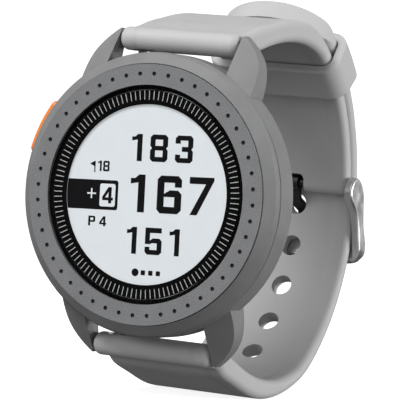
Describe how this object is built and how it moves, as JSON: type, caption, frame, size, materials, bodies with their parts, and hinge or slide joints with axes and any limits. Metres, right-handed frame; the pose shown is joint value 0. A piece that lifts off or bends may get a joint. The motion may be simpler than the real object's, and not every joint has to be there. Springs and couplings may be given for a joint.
{
  "type": "golf gps watch",
  "caption": "Round golf GPS watch on a buckled silicone strap, with a dimpled bezel, a side button and quick-release spring bars.",
  "frame": {"origin": "centre of the cover glass's outer face", "axes": "+Z towards 12 o'clock, +X towards 3 o'clock, +Y from the dial through the case into the wrist"},
  "size_m": [0.0483, 0.0661, 0.0697],
  "materials": {
    "case_grey": "fine matte grey",
    "insert_grey": "grainy darker grey",
    "clear_glass": "clear",
    "ring_black": "black with pale tick marks",
    "display": "pale reflective display with dark digits",
    "clear_plastic": "frosted",
    "inner_metal": "stamped sheet",
    "flex_film": "amber film",
    "back_black": "fine matte",
    "black_rubber": "soft",
    "screw_steel": "machined",
    "contact_gold": "plated",
    "board_green": "solder mask",
    "ceramic": "fired ceramic",
    "chip_black": "moulded",
    "battery_foil": "foil pouch",
    "foam": "foam",
    "button_orange": "satin orange",
    "strap_silicone": "matte light grey silicone",
    "buckle_metal": "bead-blasted satin"
  },
  "bodies": {
    "case": {"bezel_ring": "case_grey", "bezel_insert": "insert_grey", "cover_glass": "clear_glass", "glass_gasket": "black_rubber", "tick_ring": "ring_black", "display_panel": "display", "light_guide": "clear_plastic", "display_bracket": "inner_metal", "display_flex": "flex_film", "main_housing": "case_grey", "case_back": "back_black", "case_back_seal": "black_rubber", "case_back_screws": "screw_steel", "charging_contacts": "contact_gold", "contact_pins": "contact_gold", "main_board": "board_green", "gps_antenna": "ceramic", "processor_shield": "inner_metal", "processor": "chip_black", "radio_module": "inner_metal", "battery": "battery_foil", "battery_pad": "foam", "side_switch": "chip_black"},
    "button": {"button_cap": "button_orange", "button_stem": "screw_steel", "button_clip": "screw_steel", "switch_plunger": "chip_black"},
    "strap": {"upper_strap": "strap_silicone", "lower_strap": "strap_silicone", "upper_bar_tube": "screw_steel", "upper_bar_tip": "screw_steel", "upper_bar_spring": "screw_steel", "lower_bar_tube": "screw_steel", "lower_bar_tip": "screw_steel", "lower_bar_spring": "screw_steel", "buckle_pin": "screw_steel"},
    "keeper": {"keeper_loop": "strap_silicone"},
    "buckle": {"buckle_frame": "buckle_metal"},
    "tongue": {"buckle_tongue": "buckle_metal"},
    "upper_lever": {"upper_release": "screw_steel"},
    "lower_lever": {"lower_release": "screw_steel"}
  },
  "joints": [
    {"name": "button_press", "type": "slide", "parent": "case", "child": "button", "axis": [0.9171, 0, -0.3987], "range_m": [0, 0.0006], "stiffness_N_per_m": 2000, "springref_m": -0.0002},
    {"name": "strap_swing", "type": "hinge", "parent": "case", "child": "strap", "pos_m": [0, 0.0089, 0.0259], "axis": [1, 0, 0], "range_deg": [0, 60]},
    {"name": "keeper_slide", "type": "hinge", "parent": "strap", "child": "keeper", "pos_m": [0, 0.0273, -0.0002], "axis": [1, 0, 0], "range_deg": [-20, 0]},
    {"name": "buckle_lift", "type": "hinge", "parent": "strap", "child": "buckle", "pos_m": [0, 0.05941, 0.00374], "axis": [1, 0, 0], "range_deg": [0, 6]},
    {"name": "tongue_lift", "type": "hinge", "parent": "buckle", "child": "tongue", "pos_m": [0, 0.05941, 0.00374], "axis": [1, 0, 0], "range_deg": [0, 5]},
    {"name": "upper_latch", "type": "slide", "parent": "strap", "child": "upper_lever", "axis": [1, 0, 0], "range_m": [0, 0.0012], "stiffness_N_per_m": 600, "springref_m": -0.0005},
    {"name": "lower_latch", "type": "slide", "parent": "strap", "child": "lower_lever", "axis": [-1, 0, 0], "range_m": [0, 0.0012]}
  ]
}
